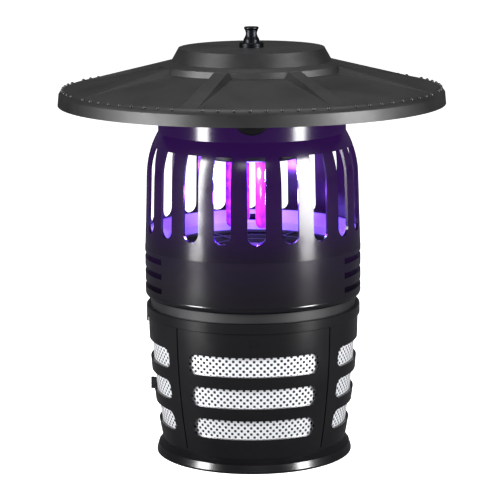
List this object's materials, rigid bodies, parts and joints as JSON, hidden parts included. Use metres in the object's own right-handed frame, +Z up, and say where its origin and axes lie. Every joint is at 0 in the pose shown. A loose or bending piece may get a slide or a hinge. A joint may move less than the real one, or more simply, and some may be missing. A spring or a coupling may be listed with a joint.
{
  "type": "electric bug zapper",
  "caption": "Hanging lamp-and-fan insect trap: round canopy, slotted lamp chamber, fan section and a twist-off mesh catch basket with a rear door.",
  "frame": {"origin": "centre of the ring that the basket's foot stands on, at floor height", "axes": "+Z up through the hanger, -Y towards the front with the power button, +X to the right seen from the front"},
  "size_m": [0.356, 0.356, 0.397],
  "materials": {
    "shell_black": "fine moulded texture, matt",
    "sensor_window": "smoked clear plastic",
    "sensor_can": "glossy",
    "stud_metal": "black, half matt",
    "zinc_steel": "zinc plated",
    "chamber_black": "smooth, half gloss",
    "inner_black": "matt",
    "block_black": "matt",
    "socket_white": "matt",
    "base_white": "matt",
    "lamp_glass": "coated glass, glowing violet when on",
    "lens_clear": "clear",
    "board_green": "solder mask",
    "transformer_steel": "varnished",
    "capacitor_can": "sleeved",
    "switch_grey": "matt",
    "button_black": "half gloss",
    "spring_steel": "drawn wire",
    "gland_black": "nylon",
    "funnel_coating": "pale coated, matt",
    "shroud_black": "smooth, half gloss",
    "duct_black": "matt",
    "motor_steel": "painted",
    "bush_bronze": "sintered bronze",
    "shaft_steel": "ground",
    "impeller_black": "matt",
    "lead_pvc": "flexible jacket",
    "ring_black": "smooth, half gloss",
    "seal_foam": "closed foam",
    "basket_black": "smooth, half gloss",
    "mesh_black": "woven wire, painted"
  },
  "bodies": {
    "housing": {"roof": "shell_black", "sensor_window": "sensor_window", "light_sensor": "sensor_can", "hanger_stud": "stud_metal", "hanger_nut": "zinc_steel", "lamp_housing": "chamber_black", "roof_screws": "zinc_steel", "lamp_carrier": "inner_black", "carrier_screws": "zinc_steel", "lamp_block": "block_black", "lamp_socket_left": "socket_white", "lamp_socket_right": "socket_white", "lamp_base_left": "base_white", "lamp_base_right": "base_white", "lamp_tube_left": "lamp_glass", "lamp_tube_right": "lamp_glass", "indicator_lens": "lens_clear", "circuit_board": "board_green", "board_screws": "zinc_steel", "transformer": "transformer_steel", "capacitors": "capacitor_can", "power_switch": "switch_grey", "cable_gland": "gland_black", "gland_nut": "gland_black", "funnel": "funnel_coating", "fan_guard": "inner_black", "fan_shroud": "shroud_black", "housing_screws": "zinc_steel", "fan_duct": "duct_black", "duct_screws": "zinc_steel", "fan_motor": "motor_steel", "motor_screws": "zinc_steel", "shaft_bushes": "bush_bronze", "fan_lead": "lead_pvc"},
    "button": {"power_button": "button_black", "button_spring": "spring_steel"},
    "fan": {"impeller": "impeller_black", "fan_shaft": "shaft_steel", "impeller_nut": "zinc_steel"},
    "basket": {"lock_ring": "ring_black", "ring_screws": "zinc_steel", "seal_ring": "seal_foam", "basket_cage": "basket_black", "basket_mesh": "mesh_black", "floor_mesh": "mesh_black", "hinge_pin": "shaft_steel"},
    "door": {"basket_door": "basket_black", "door_mesh": "mesh_black"}
  },
  "joints": [
    {"name": "button_push", "type": "slide", "parent": "housing", "child": "button", "axis": [0, 1, 0], "range_m": [0, 0.002], "stiffness_N_per_m": 400, "springref_m": -0.002, "deforming": ["button_spring"]},
    {"name": "fan_spin", "type": "hinge", "parent": "housing", "child": "fan", "pos_m": [0, 0, 0.176], "axis": [0, 0, 1], "continuous": true},
    {"name": "basket_twist", "type": "hinge", "parent": "housing", "child": "basket", "pos_m": [0, 0, 0.137], "axis": [0, 0, 1], "range_deg": [0, 18]},
    {"name": "door_swing", "type": "hinge", "parent": "basket", "child": "door", "pos_m": [0.06455, 0.06736, 0.024], "axis": [-0.0678, -0.0707, -0.9952], "range_deg": [0, 100]}
  ]
}
